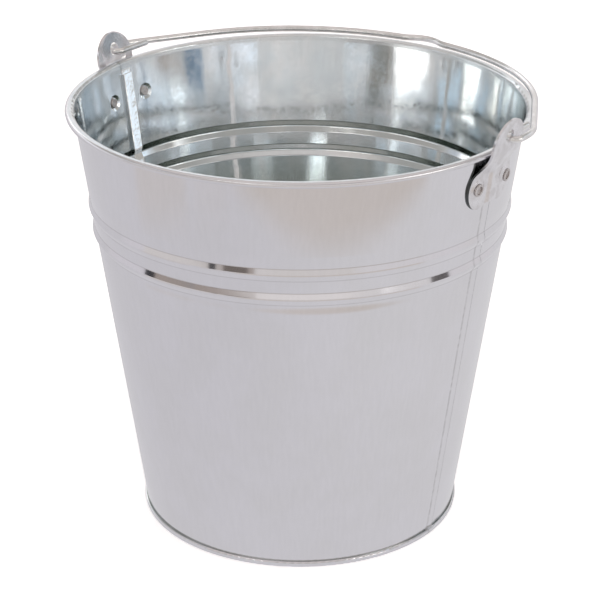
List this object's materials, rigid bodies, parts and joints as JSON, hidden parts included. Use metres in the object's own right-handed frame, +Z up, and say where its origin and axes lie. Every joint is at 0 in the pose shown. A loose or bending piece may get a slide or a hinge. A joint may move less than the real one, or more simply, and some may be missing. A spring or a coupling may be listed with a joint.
{
  "type": "florist bucket",
  "caption": "Tapered galvanised-steel bucket with beaded wall, rolled rim, seamed base, riveted ears and a folding wire bail, for cut stems and water.",
  "frame": {"origin": "centre of the foot ring, in the plane the bucket stands on", "axes": "+Z up along the bucket's axis, +X through the right ear, +Y towards the rim that the resting bail lies on"},
  "size_m": [0.3126, 0.2962, 0.2899],
  "materials": {
    "galvanised_sheet": "bright galvanised, satin with a faint vertical rolling grain",
    "ear_steel": "stamped and galvanised, satin",
    "rivet_steel": "set heads, slightly darker in the cups",
    "drawn_wire": "galvanised drawn wire, semi-bright"
  },
  "bodies": {
    "bucket": {"body_panel_front": "galvanised_sheet", "body_panel_rear": "galvanised_sheet", "rim_wire": "drawn_wire", "base_disc": "galvanised_sheet", "ear_right": "ear_steel", "ear_left": "ear_steel", "rivet_right_front": "rivet_steel", "rivet_right_rear": "rivet_steel", "rivet_left_front": "rivet_steel", "rivet_left_rear": "rivet_steel"},
    "bail": {"bail": "drawn_wire"}
  },
  "joints": [
    {"name": "bail_hinge", "type": "hinge", "parent": "bucket", "child": "bail", "pos_m": [0, 0, 0.2775], "axis": [1, 0, 0], "range_deg": [0, 182.54]}
  ]
}
